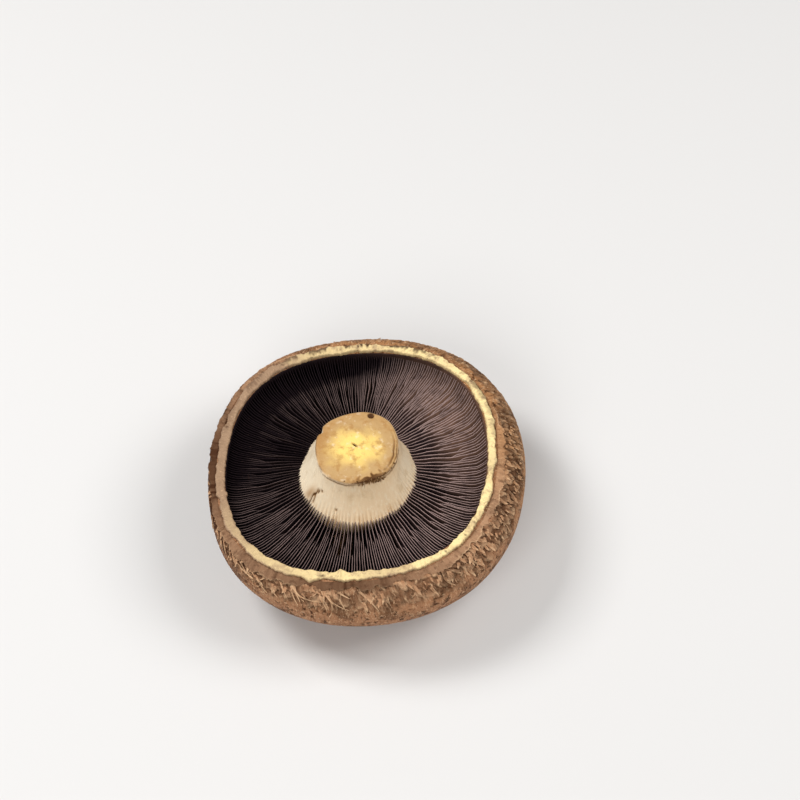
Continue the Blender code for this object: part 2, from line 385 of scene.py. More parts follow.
def skin_relief(reach, azimuth):
    """Height of the skin's own relief in metres, how torn the skin is there, and its painted shade: darker in
    the creases, the low parts of the scales and the pits, and all over the left of the cap.
    """
    at = skin_place(reach, azimuth)
    torn = torn_belt(at, azimuth)
    shingle, crease = scales(at)
    pit = smooth(0.36, 0.62, noise.noise(at * 0.9 + Vector((2, 8, 1)))) * smooth(7, 10, at.z)
    swell = 0.14 * noise.noise(at * 0.085)
    fibres = 0.03 * fibre_ridges(at, 0.75, 0.10, 3.1) + 0.015 * fibre_ridges(at, 1.5, 0.22, 9.7)
    relief = swell + smooth(0.5, 3.0, at.z) * fibres
    relief += torn * (0.38 * shingle - 0.50 * crease - 0.12) - 0.14 * pit
    # Painted shade: the whole left of the cap is darker, as if in shadow.
    shade_left = 0.90 * facing(azimuth, 180, 40)
    # Painted shade in the creases, the low parts of the scales and the pits, added to the left's.
    hollow = torn * max(crease, 0.75 * (1 - shingle)) + 0.7 * pit + shade_left
    return relief * MM, 0.75 * torn * shingle, min(hollow, 1.0)


def write_layers(bm, names):
    """Float layers of these names on the mesh's vertices."""
    return [bm.verts.layers.float.new(name) for name in names]


def skin_mesh():
    """A new bmesh, and the torn, painted shade and grain layers that the skin's material reads; on the collar
    the shade layer also holds darker streaks.
    """
    bm = bmesh.new()
    torn, hollow = write_layers(bm, ("torn", "hollow"))
    return bm, (torn, hollow, bm.verts.layers.float_vector.new("grain"))


def drum(bm, rows, steps):
    """A grid to be rolled up round the Z axis: a list of (vertex, azimuth, row number)."""
    grid = bmesh.ops.create_grid(bm, x_segments=steps, y_segments=rows - 1, size=0.5)
    rolled = []
    for vert in grid["verts"]:
        azimuth = (vert.co.x + 0.5) * math.tau - math.pi
        rolled.append((vert, azimuth, round((vert.co.y + 0.5) * (rows - 1))))
    return rolled


def closed_up(bm):
    """Join the rolled grid's seam and poles, with its faces outwards."""
    bmesh.ops.remove_doubles(bm, verts=bm.verts, dist=MERGE_DISTANCE)
    bmesh.ops.recalc_face_normals(bm, faces=bm.faces)
    bm.normal_update()


def finished(bm, name, material, node, sharp=60):
    """Turn a bmesh into a piece that rides on the mushroom and stands for a node."""
    mesh = bpy.data.meshes.new(name)
    bm.to_mesh(mesh)
    bm.free()
    mesh.materials.append(material)
    mesh.shade_smooth()
    mesh.set_sharp_from_angle(angle=math.radians(sharp))
    piece = bpy.data.objects.new(name, mesh)
    bpy.context.scene.collection.objects.link(piece)
    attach(piece, BODY)
    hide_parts(node)


class Nodes:
    """A node tree that is being built, with short calls for its nodes."""

    def __init__(self, tree):
        self.tree = tree

    def node(self, kind, inputs=None, **settings):
        """A new node, whose inputs are linked where a socket is given and set where a value is given."""
        made = self.tree.nodes.new(kind)
        for name, value in settings.items():
            setattr(made, name, value)
        for name, value in (inputs or {}).items():
            self.feed(value, made.inputs[name])
        return made

    def feed(self, value, socket):
        """Link a socket, or set a plain value."""
        if isinstance(value, bpy.types.NodeSocket):
            self.tree.links.new(value, socket)
        elif socket.type == "RGBA":
            socket.default_value = (*value, 1.0)
        else:
            socket.default_value = value

    def attribute(self, name, output="Fac"):
        """One of the piece's own attributes."""
        return self.node("ShaderNodeAttribute", attribute_name=name).outputs[output]

    def noise(self, vector, scale, detail, roughness):
        """Noise from 0 to 1."""
        inputs = {"Vector": vector, "Scale": scale, "Detail": detail, "Roughness": roughness}
        return self.node("ShaderNodeTexNoise", inputs).outputs["Fac"]

    def stretched(self, vector, scale):
        """The vector, scaled along each axis."""
        return self.node("ShaderNodeMapping", {"Vector": vector, "Scale": scale}).outputs["Vector"]

    def math(self, operation, a, b):
        """A sum, product or other plain operation."""
        return self.node("ShaderNodeMath", {0: a, 1: b}, operation=operation).outputs[0]

    def between(self, value, low, high, start=0.0, end=1.0):
        """The value mapped from low..high to start..end, and kept inside them."""
        inputs = {"Value": value, "From Min": low, "From Max": high, "To Min": start, "To Max": end}
        return self.node("ShaderNodeMapRange", inputs, interpolation_type="SMOOTHSTEP").outputs["Result"]

    def mix(self, share, a, b):
        """One colour mixed into another."""
        made = self.node("ShaderNodeMix", data_type="RGBA")
        self.feed(share, made.inputs["Factor"])
        self.feed(a, made.inputs[6])
        self.feed(b, made.inputs[7])
        return made.outputs[2]

    def tinted(self, base, name, amount, tint):
        """The base with a tint where one of the piece's own attributes is high."""
        return self.mix(self.math("MULTIPLY", self.attribute(name), amount), base, tint)

    def bump(self, height, strength, distance, before=None):
        """A bump from a height, on top of the one before."""
        inputs = {"Height": height, "Strength": strength, "Distance": distance}
        if before is not None:
            inputs["Normal"] = before
        return self.node("ShaderNodeBump", inputs).outputs["Normal"]

    def mottled(self, base, spots, vector, noise_look, low, high, amount):
        """The shared mottle group, placed with these values: its colour and its height."""
        scale, detail, roughness = noise_look
        made = self.node("ShaderNodeGroup", {
            "Base": base, "Spots": spots, "Vector": vector, "Scale": scale, "Detail": detail,
            "Roughness": roughness, "Low": low, "High": high, "Amount": amount,
        }, node_tree=mottle_group())
        return made.outputs["Color"], made.outputs["Height"]


class Group(Nodes):
    """A shader node group that is built once and placed in several materials."""

    def __init__(self, name, inputs, outputs):
        super().__init__(bpy.data.node_groups.new(name, "ShaderNodeTree"))
        for side, sockets in (("INPUT", inputs), ("OUTPUT", outputs)):
            for kind, names in sockets.items():
                for each in names:
                    self.tree.interface.new_socket(name=each, in_out=side, socket_type=f"NodeSocket{kind}")
        self.given = self.node("NodeGroupInput").outputs
        self.result = self.node("NodeGroupOutput")

    def put_out(self, results):
        """Connect the results to the group's outputs."""
        for name, value in results.items():
            self.feed(value, self.result.inputs[name])
        return self.tree


class Shader(Nodes):
    """A material that is being built."""

    def __init__(self, name, roughness, specular=0.15):
        self.material = bpy.data.materials.new(name)
        self.material.use_nodes = True
        super().__init__(self.material.node_tree)
        self.principled = self.tree.nodes["Principled BSDF"]
        self.principled.inputs["Roughness"].default_value = roughness
        self.principled.inputs["Specular IOR Level"].default_value = specular

    def object_place(self):
        """The piece's own coordinates, in metres."""
        return self.node("ShaderNodeTexCoord").outputs["Object"]

    def finish(self, base, normal):
        """Connect the results to the surface."""
        self.feed(base, self.principled.inputs["Base Color"])
        self.feed(normal, self.principled.inputs["Normal"])
        return self.material


def mottle_group():
    """Spots of a second colour where noise is high, and the noise as a height for bumps."""
    made = bpy.data.node_groups.get("mottle")
    if made:
        return made
    numbers = ("Scale", "Detail", "Roughness", "Low", "High", "Amount")
    group = Group("mottle", {"Color": ("Base", "Spots"), "Vector": ("Vector",), "Float": numbers},
                  {"Color": ("Color",), "Float": ("Height",)})
    given = group.given
    height = group.noise(given["Vector"], given["Scale"], given["Detail"], given["Roughness"])
    share = group.between(height, given["Low"], given["High"], 0.0, given["Amount"])
    return group.put_out({"Color": group.mix(share, given["Base"], given["Spots"]), "Height": height})


def skin_group():
    """Matt fibrous skin: redder low on the cap and golden on its far right, with fibres and pits, and
    darkened by the painted shade that it is given.
    """
    made = bpy.data.node_groups.get("fibrous skin")
    if made:
        return made
    colours = ("Skin", "Dark", "Light", "Low Skin", "Far Skin")
    numbers = ("Contrast", "Lightness", "Torn", "Hollow")
    group = Group("fibrous skin", {"Color": colours, "Vector": ("Place", "Grain"), "Float": numbers},
                  {"Color": ("Color",), "Float": ("Fibres", "Lumps")})
    given = group.given
    axes = group.node("ShaderNodeSeparateXYZ", {"Vector": given["Place"]}).outputs
    low = group.between(axes["Z"], 0.020, 0.007, 0.0, 0.65)
    base = group.mix(low, given["Skin"], given["Low Skin"])
    right = group.math("MULTIPLY", axes["X"], 0.6)
    far_right = group.math("ADD", right, group.math("MULTIPLY", axes["Y"], 0.8))
    base = group.mix(group.between(far_right, 0.006, 0.034, 0.0, 0.75), base, given["Far Skin"])
    contrast = given["Contrast"]
    faint = group.math("MULTIPLY", contrast, 0.7)
    base, _ = group.mottled(base, given["Dark"], given["Place"], (140.0, 5.0, 0.62), 0.46, 0.64, faint)
    along = group.stretched(given["Grain"], (1.0, 1.0, 0.24))
    base, fibres = group.mottled(base, given["Dark"], along, (1.2, 6.0, 0.72), 0.53, 0.70, contrast)
    base, _ = group.mottled(base, given["Light"], along, (2.6, 4.0, 0.62), 0.52, 0.70, faint)
    base, lumps = group.mottled(base, given["Dark"], given["Place"], (560.0, 5.0, 0.68), 0.53, 0.64, contrast)
    base, _ = group.mottled(base, given["Light"], given["Place"], (1000.0, 3.0, 0.6), 0.57, 0.70, faint)
    base = group.mix(given["Lightness"], base, given["Light"])
    base = group.mix(given["Torn"], base, given["Light"])
    # Painted shade, and on the collar its darker streaks, pull the colour towards the dark brown.
    base = group.mix(given["Hollow"], base, given["Dark"])
    return group.put_out({"Color": base, "Fibres": fibres, "Lumps": lumps})


def skin_material(name, finish, lightness, contrast=0.95, skin=None):
    """Matt fibrous brown skin. lightness is how far its colour lies towards the light torn edges."""
    shade = Shader(name, 0.66, 0.10)
    made = shade.node("ShaderNodeGroup", {
        "Skin": skin or finish.skin_mid, "Dark": finish.skin_dark, "Light": finish.skin_light,
        "Low Skin": finish.skin_red, "Far Skin": finish.skin_gold, "Place": shade.object_place(),
        "Grain": shade.attribute("grain", "Vector"), "Contrast": contrast, "Lightness": lightness,
        "Torn": shade.attribute("torn"), "Hollow": shade.attribute("hollow"),
    }, node_tree=skin_group())
    normal = shade.bump(made.outputs["Fibres"], 0.8 * contrast, 0.0004)
    normal = shade.bump(made.outputs["Lumps"], 0.8, 0.0004, normal)
    return shade.finish(made.outputs["Color"], normal)


def flesh_material(name, finish):
    """Torn cream-yellow flesh with tan bruises and painted shade on the left of the ring."""
    shade = Shader(name, 0.55)
    where = shade.object_place()
    base, _ = shade.mottled(finish.flesh, finish.flesh_shade, where, (260.0, 5.0, 0.65), 0.48, 0.66, 0.6)
    base, streaks = shade.mottled(base, finish.flesh_shade, where, (700.0, 4.0, 0.62), 0.54, 0.70, 0.55)
    # Bruises, and painted shade on the left of the ring.
    base = shade.tinted(base, "bruise", 1.0, finish.flesh_shade)
    base, grainy = shade.mottled(base, finish.skin_light, where, (1700.0, 4.0, 0.6), 0.56, 0.70, 0.4)
    base = shade.tinted(base, "blotch", 1.0, finish.skin_dark)
    normal = shade.bump(streaks, 0.8, 0.0004)
    return shade.finish(base, shade.bump(grainy, 0.6, 0.0002, normal))


def gill_material(name, finish):
    """Matt gill tissue, darkened by the blades' own dark tone and by painted shade, lighter on the right as
    painted light, and light along the free edges.
    """
    shade = Shader(name, 0.7, 0.05)
    where = shade.object_place()
    # These darken faces and edges by the blades' own tone and by painted shade, and lighten the right by
    # painted light.
    face = shade.tinted(finish.gill_face, "old", 1.0, finish.gill_old)
    edge = shade.tinted(finish.gill_edge, "dim", 1.0, finish.gill_old)
    base = shade.mix(shade.between(shade.attribute("free_edge"), 0.972, 0.998), face, edge)
    base, _ = shade.mottled(base, finish.gill_old, where, (300.0, 3.0, 0.6), 0.42, 0.70, 0.4)
    base, streaks = shade.mottled(base, finish.gill_face, where, (2400.0, 2.0, 0.5), 0.6, 0.8, 0.2)
    return shade.finish(base, shade.bump(streaks, 0.3, 0.0001))


def stem_material(name, finish):
    """Cream stem flesh, paler on the left and right of the side as painted light, with a yellow and ochre cut
    face and soil along its edge.
    """
    shade = Shader(name, 0.55)
    where = shade.object_place()
    upright = shade.stretched(where, (1.0, 1.0, 0.12))
    # The pale attribute is painted light on the left and right of the side, over a slight even paleness.
    side = shade.tinted(finish.stem_side, "pale", 1.0, finish.stem_pale)
    side, striae = shade.mottled(side, finish.stem_pale, upright, (1400.0, 3.0, 0.6), 0.45, 0.72, 0.45)
    side, _ = shade.mottled(side, finish.cut_edge, where, (260.0, 4.0, 0.6), 0.52, 0.72, 0.35)
    cut = shade.tinted(finish.cut_edge, "yellow", 1.0, finish.cut_middle)
    cut, mottle = shade.mottled(cut, finish.cut_stain, where, (420.0, 5.0, 0.62), 0.46, 0.68, 0.7)
    cut, _ = shade.mottled(cut, finish.stem_pale, where, (560.0, 4.0, 0.6), 0.56, 0.74, 0.4)
    base = shade.mix(shade.attribute("cut"), side, cut)
    base = shade.tinted(base, "ochre", 1.0, finish.cut_stain)
    base = shade.tinted(base, "stain", 1.0, finish.soil)
    normal = shade.bump(mottle, 0.35, 0.0003)
    return shade.finish(base, shade.bump(striae, 0.3, 0.0001, normal))


def soil_material(name, finish):
    """Crumbs of dark soil."""
    shade = Shader(name, 0.9, 0.1)
    where = shade.object_place()
    base, grit = shade.mottled(finish.soil, finish.cut_edge, where, (3000.0, 3.0, 0.6), 0.45, 0.8, 0.8)
    return shade.finish(base, shade.bump(grit, 0.6, 0.0002))


class MUSHROOM_OT_cap_skin(Operator):
    """Make the cap: brown skin from the rim down to the crown, closed over the flesh inside"""
    bl_idname = "mushroom.cap_skin"
    bl_label = "Cap skin"

    ROW_STEP = 0.30 * MM
    WIDEST_STEP = 1.8 * MM
    STEP_GROWTH = 1.07          # from one row to the next, below the torn skin
    TORN_DOWN_TO = 11 * MM

    def execute(self, context):
        scene = context.scene
        cap = Cap(scene.mushroom_cap)
        bm, (torn, hollow, grain) = skin_mesh()
        inside = self.inside_rows(cap)
        reaches = self.skin_rows(cap)
        relief = bm.verts.layers.float.new("relief")
        steps = cap.steps
        rest_edge = cap.reaches[-1] - cap.rest_radius
        for vert, azimuth, row in drum(bm, len(inside) + len(reaches), steps):
            if row < len(inside):
                vert.co = cap.cap_place(*inside[row], 1.0, azimuth)
                vert[grain] = skin_place(0.0, azimuth)
                continue
            reach = reaches[row - len(inside)]
            vert.co = cap.skin_point(reach, azimuth)
            vert[grain] = skin_place(reach, azimuth)
            height, vert[torn], vert[hollow] = skin_relief(reach, azimuth)
            even = smooth(rest_edge - 8 * MM, rest_edge, reach)
            vert[relief] = (height - cap.skin_inset) * (1 - even)
        closed_up(bm)
        for vert in bm.verts:
            vert.co = cap.kept_inside(vert.co + vert.normal * vert[relief])
            vert.co.z = max(vert.co.z, 0.0)
        bm.verts.layers.float.remove(relief)
        finished(bm, "cap_skin", skin_material("brown skin", scene.mushroom_finish, 0.0), "cap")
        return {"FINISHED"}

    def skin_rows(self, cap):
        """Distances from the margin of the rows of vertices, close together where the skin is torn."""
        rows = [0.0]
        step = self.ROW_STEP
        while rows[-1] + step < cap.reaches[-1]:
            rows.append(rows[-1] + step)
            if rows[-1] > self.TORN_DOWN_TO:
                step = min(step * self.STEP_GROWTH, self.WIDEST_STEP)
        rows.append(cap.reaches[-1])
        return rows

    def inside_rows(self, cap):
        """Points (radius, height) from the middle of the floor out to the rim and over it."""
        points = [(0.0, cap.seat_height)]
        for step in range(5):
            share = step / 4
            radius = mix(cap.seat_radius, cap.rim_radius, share)
            points.append((radius, cap.floor(share)))
        low = cap.rim_height - 1.2 * MM
        points.append((cap.rim_radius, low - 1.0 * MM))
        points.append((cap.rim_radius + 0.4 * MM, low))
        points.append((cap.margin_radius - 0.3 * MM, low))
        return points


class MUSHROOM_OT_torn_collar(Operator):
    """Make the smooth collar below the rim, whose ragged lower edge stands off the skin"""
    bl_idname = "mushroom.torn_collar"
    bl_label = "Torn collar"

    ROWS = 11
    STEPS = 1200
    THICKNESS = 0.16 * MM
    RAGS = ((1.4, 50, 2.0), (1.0, 120, 3.0))
    STREAKS = ((0.45, 210, 8.0), (0.30, 45, 9.0))

    def execute(self, context):
        cap = Cap(context.scene.mushroom_cap)
        finish = context.scene.mushroom_finish
        bm, (torn, hollow, grain) = skin_mesh()
        for vert, azimuth, row in drum(bm, self.ROWS, self.STEPS):
            share = row / (self.ROWS - 1)
            reach = mix(-0.2 * MM, self.lower_edge(azimuth), share)
            curl = smooth(-0.3, 0.5, ragged(azimuth, 34, 4.0))
            off = 0.08 + 0.10 * share + 0.50 * curl * share ** 3
            off += 0.10 * noise.noise(skin_place(reach, azimuth) * 0.6)
            vert.co = cap.skin_frame(max(reach, 0.0), azimuth) @ Vector((0.0, 0.0, off * MM))
            vert[grain] = skin_place(reach, azimuth)
            vert[torn] = 0.9 * smooth(0.86, 1.0, share) * curl
            # Painted shade: the collar is darker on the near side, under the rim flesh, and on the left; the
            # streaks added to it are its own darker fibres.
            dark = 0.80 * facing(azimuth, -95, 38) + 0.92 * facing(azimuth, 180, 32)
            vert[hollow] = dark + max(layered(azimuth, self.STREAKS), 0.0)
        closed_up(bm)
        self.face_out(bm)
        bmesh.ops.solidify(bm, geom=bm.faces[:], thickness=self.THICKNESS)
        material = skin_material("collar skin", finish, 0.05, 0.5, finish.collar)
        finished(bm, "torn_collar", material, "cap")
        return {"FINISHED"}

    def lower_edge(self, azimuth):
        """Distance from the margin to the collar's ragged lower edge."""
        wide = 1.9 + 1.3 * ragged(azimuth, 13, 1.0) + facing(azimuth, -140, 25)
        edge = wide + layered(azimuth, self.RAGS) + 0.9 * abs(ragged(azimuth, 300, 5.0))
        far = smooth(70, 40, abs(apart(azimuth, 75)))
        return max(edge * (1 - 0.9 * far), 0.3) * MM

    def face_out(self, bm):
        """Turn the faces so that they look away from the cap."""
        total = sum(face.normal.dot(face.calc_center_median()) for face in bm.faces)
        if total < 0:
            bmesh.ops.reverse_faces(bm, faces=bm.faces[:])


class MUSHROOM_OT_rim_flesh(Operator):
    """Make the ring of torn pale flesh on the rim"""
    bl_idname = "mushroom.rim_flesh"
    bl_label = "Rim flesh"

    ROWS = 27
    STEPS = 1400
    HALF_HEIGHT = 0.75          # mm
    INNER_EDGE = ((0.5, 44, 1.5), (0.36, 150, 2.5), (0.20, 420, 2.0))
    OUTER_EDGE = ((0.6, 34, 3.5), (0.55, 100, 4.5), (0.28, 380, 6.0))
    ROUGH = ((0.26, 0.8), (0.20, 1.7), (0.12, 3.6))
    PITS = (-34, -41, -52, 163, 38)

    def execute(self, context):
        scene = context.scene
        cap = Cap(scene.mushroom_cap)
        bm = bmesh.new()
        bruise, blotch = write_layers(bm, ("bruise", "blotch"))
        for vert, azimuth, row in drum(bm, self.ROWS, self.STEPS):
            angle = math.tau * row / (self.ROWS - 1)
            across = self.boxy(math.cos(angle))
            vert.co = self.flesh_point(cap, across, self.boxy(math.sin(angle)), azimuth)
            vert[bruise] = self.bruised(across, azimuth)
            vert[blotch] = self.blotched(across, azimuth)
        closed_up(bm)
        finished(bm, "rim_flesh", flesh_material("pale flesh", scene.mushroom_finish), "cap")
        return {"FINISHED"}

    def boxy(self, part):
        """A cosine or sine drawn outwards, which makes the ring's round section more like a box."""
        return math.copysign(abs(part) ** 0.6, part)

    def flesh_point(self, cap, across, up, azimuth):
        """Place on the ring, from its inner side (across -1) to its outer one (1) and up from -1 to 1."""
        lump = facing(azimuth, -97, 1.6)
        knot = facing(azimuth, -108, 1.8)
        fold = facing(azimuth, -163.5, 1.2)
        tuck = facing(azimuth, -50, 2.2)
        middle = cap.rim_width / 2
        narrow = 0.26 + 0.26 * facing(azimuth, -35, 50)
        width = middle / MM - narrow + layered(azimuth, self.OUTER_EDGE if across > 0 else self.INNER_EDGE)
        width += 1.2 * (knot if across > 0 else lump) + 0.4 * fold - 0.5 * tuck
        height = self.HALF_HEIGHT + 0.16 * ragged(azimuth, 60, 6.0) + 0.25 * (lump + knot) + 0.3 * fold
        height += rough_at(self.flesh_place(across, azimuth), self.ROUGH)
        radius = cap.margin_radius - middle + across * width * MM
        top = cap.rim_height + (up * height - self.HALF_HEIGHT) * MM
        return cap.cap_place(radius, top, 1.0, azimuth)

    def flesh_place(self, across, azimuth):
        """Where noise is read for a point of the ring."""
        return skin_place((across + 1) * MM, azimuth)

    def bruised(self, across, azimuth):
        """How dark the flesh is: bruised in patches, painted shade on the left, and darker along both edges
        of the ring.
        """
        # Painted shade: the left of the ring is darker.
        patches = 0.35 * smooth(0.05, 0.45, ragged(azimuth, 14, 7.0)) + 1.25 * facing(azimuth, 170, 60)
        edges = 0.45 * smooth(0.70, 1.0, across) + 0.2 * smooth(0.8, 1.0, -across)
        return min(patches + edges, 1.0)

    def blotched(self, across, azimuth):
        """How dark the flesh is: brown blotches, most of them on the far side, and a few small holes."""
        at = self.flesh_place(across, azimuth)
        patchy = noise.noise(at * 0.33 + Vector((3, 1, 7))) + 0.6 * noise.noise(at * 1.1)
        spots = smooth(-0.06, 0.14, patchy) * (0.12 + facing(azimuth, 84, 58))
        spots *= smooth(-0.8, 0.6, across + 0.9 * noise.noise(at * 1.3))
        holes = sum(facing(azimuth, each, 0.45) for each in self.PITS)
        holes += facing(azimuth, -104, 1.1) * bump(across, 0.3, 0.35)
        return min(0.85 * spots + 0.8 * holes * bump(across, 0.3, 0.5), 1.0)


class MUSHROOM_OT_gills(Operator):
    """Make the gills: thin blades from the stem to the rim, with shorter ones between them"""
    bl_idname = "mushroom.gills"
    bl_label = "Gills"

    INNER_END = -0.12           # share of the way from the stem's foot to the rim where a full gill begins
    OUTER_END = 1.005
    SHORT_STARTS = (-0.03, 0.10, 0.25, 0.45)

    def execute(self, context):
        scene = context.scene
        cap = Cap(scene.mushroom_cap)
        sizes = scene.mushroom_gills
        material = gill_material("gill tissue", scene.mushroom_finish)
        chance = Random(11)
        pitch = math.tau / sizes.full
        full = []
        short = []
        for number in range(sizes.full):
            azimuth = pitch * (number + chance.uniform(-0.07, 0.07))
            full.append((azimuth, self.INNER_END, chance.uniform(0, 50)))
            start = chance.choice(self.SHORT_STARTS) + chance.uniform(-0.06, 0.06)
            short.append((azimuth + pitch * chance.uniform(0.42, 0.58), start, chance.uniform(0, 50)))
        self.blades(cap, sizes, full, "gills_full", material)
        self.blades(cap, sizes, short, "gills_short", material)
        self.bed(cap, material)
        return {"FINISHED"}

    def swirl(self, share, azimuth):
        """How far a gill has bent round at this share of its length, in degrees."""
        out = max(share - 0.45, 0.0) / 0.55
        at_rim = 1.2 + 2.8 * math.cos(azimuth - math.radians(10)) + 2 * facing(azimuth, 15, 25)
        near = max(0.45 - share, 0.0) / 0.45
        at_stem = -0.8 + 1.5 * math.cos(azimuth + math.radians(20))
        return at_rim * out ** 1.5 + at_stem * near

    def lean(self, azimuth):
        """Sideways shift of a free edge against the root, as a share of the blade's height."""
        return 0.10 + 0.70 * facing(azimuth, 30, 40)

    def blade_point(self, cap, sizes, share, rise, azimuth, seed):
        """Place on a blade: share runs along it and rise goes from its root up to its free edge."""
        turned = azimuth + math.radians(self.swirl(share, azimuth))
        inside = min(max(share, 0.0), 1.0)
        root = cap.floor(inside) - 0.2 * MM
        edge = cap.lifted(mix(sizes.inner_height, sizes.outer_height, share), turned, inside)
        edge += 0.25 * MM * noise.noise(Vector((share * 3, seed, 2.0)))
        far = facing(azimuth, 90, 55)
        right = facing(azimuth, 25, 42)
        at_end = max((share - 0.86) / 0.14, 0.0) ** 1.5
        end_rise = (1.1 + 1.7 * far + 1.2 * right) * MM * at_end
        where = cap.trough_point(share, turned)
        wave = 0.07 + 0.26 * facing(azimuth, 20, 45)
        sway = wave * noise.noise(Vector((share * 7, seed, 0.5)))
        sway += 0.06 * noise.noise(Vector((share * 16, seed, 9)))
        aside = self.lean(azimuth) * (edge - root) * rise + sway * MM * (0.3 + 0.7 * rise)
        where += level(aside, turned + math.pi / 2)
        where.z = mix(root, edge + end_rise, rise)
        return where

    def ages(self, share, azimuth, seed):
        """How dark a blade's face and its free edge are, both from 0 to 1: partly the blades' own dark tone
        with a random streak, partly painted shade on the left, the far side and under the far rim; the near
        side is a little darker too, and the faces on the right are lighter as painted light.
        """
        streak = 0.15 * noise.noise(Vector((seed, share, 4)))
        # Painted shade on the left, on the far side and under the far rim; the near side is a little darker;
        # the faces on the right are lighter as painted light.
        left = facing(azimuth, 172, 62)
        near = facing(azimuth, -95, 50)
        far = facing(azimuth, 95, 60)
        right = facing(azimuth, 22, 42) * smooth(0.2, 0.6, share)
        under_rim = facing(azimuth, 118, 48) * smooth(0.62, 0.97, share)
        face_age_and_shade = 0.92 + 0.08 * (left + near) - 0.85 * right + streak + under_rim
        edge_age_and_shade = 0.17 + 0.71 * left + 0.28 * near + 0.42 * far + streak + under_rim
        return min(max(face_age_and_shade, 0.0), 1.0), min(max(edge_age_and_shade, 0.0), 1.0)

    def blades(self, cap, sizes, gills, name, material):
        """All the blades of one kind in one piece."""
        bm = bmesh.new()
        free_edge, old, dim = write_layers(bm, ("free_edge", "old", "dim"))
        for azimuth, start, seed in gills:
            grid = bmesh.ops.create_grid(bm, x_segments=sizes.segments, y_segments=1, size=0.5)
            for vert in grid["verts"]:
                along = vert.co.x + 0.5
                rise = vert.co.y + 0.5
                rounded = 1.0 if start == self.INNER_END else smooth(-0.05, 0.45, along) ** 0.4
                share = mix(start, self.OUTER_END, along)
                vert.co = self.blade_point(cap, sizes, share, rise * mix(0.25, 1.0, rounded), azimuth, seed)
                vert[free_edge] = rise
                vert[old], vert[dim] = self.ages(share, azimuth, seed)
        sides = bmesh.ops.extrude_face_region(bm, geom=bm.faces[:], use_keep_orig=True)["geom"]
        for vert in (item for item in sides if isinstance(item, bmesh.types.BMVert)):
            aside = (vert.co - cap.rim_centre).cross(UP).normalized()
            vert.co += aside * sizes.thickness
        bmesh.ops.recalc_face_normals(bm, faces=bm.faces)
        finished(bm, name, material, "gills", 40)

    def bed(self, cap, material):
        """The tissue that the gills stand on, which also lines the inside of the rim, painted near black as
        the shade between the blades and under the rim.
        """
        bm = bmesh.new()
        free_edge, old, dim = write_layers(bm, ("free_edge", "old", "dim"))
        thick = 0.3 * MM
        inner = cap.seat_radius - 3 * MM
        outer = cap.rim_radius + thick
        points = []
        for step in range(9):
            points.append((mix(inner, outer, step / 8), cap.floor(step / 8)))
        points.append((outer, cap.rim_height - 1.3 * MM))
        points.append((outer - thick, cap.rim_height - 1.4 * MM))
        for step in range(8, -1, -1):
            points.append((mix(inner, outer - thick, step / 8), cap.floor(step / 8) + thick))
        points.append(points[0])
        for vert, azimuth, row in drum(bm, len(points), 240):
            vert.co = cap.cap_place(*points[row], 1.0, azimuth)
            # Painted shade: the bed and the rim's inner wall are near black, lighter on the right as painted
            # light.
            vert[old] = 1 - 0.8 * facing(azimuth, 22, 45)
            vert[dim] = vert[old]
        closed_up(bm)
        finished(bm, "gill_bed", material, "gills")


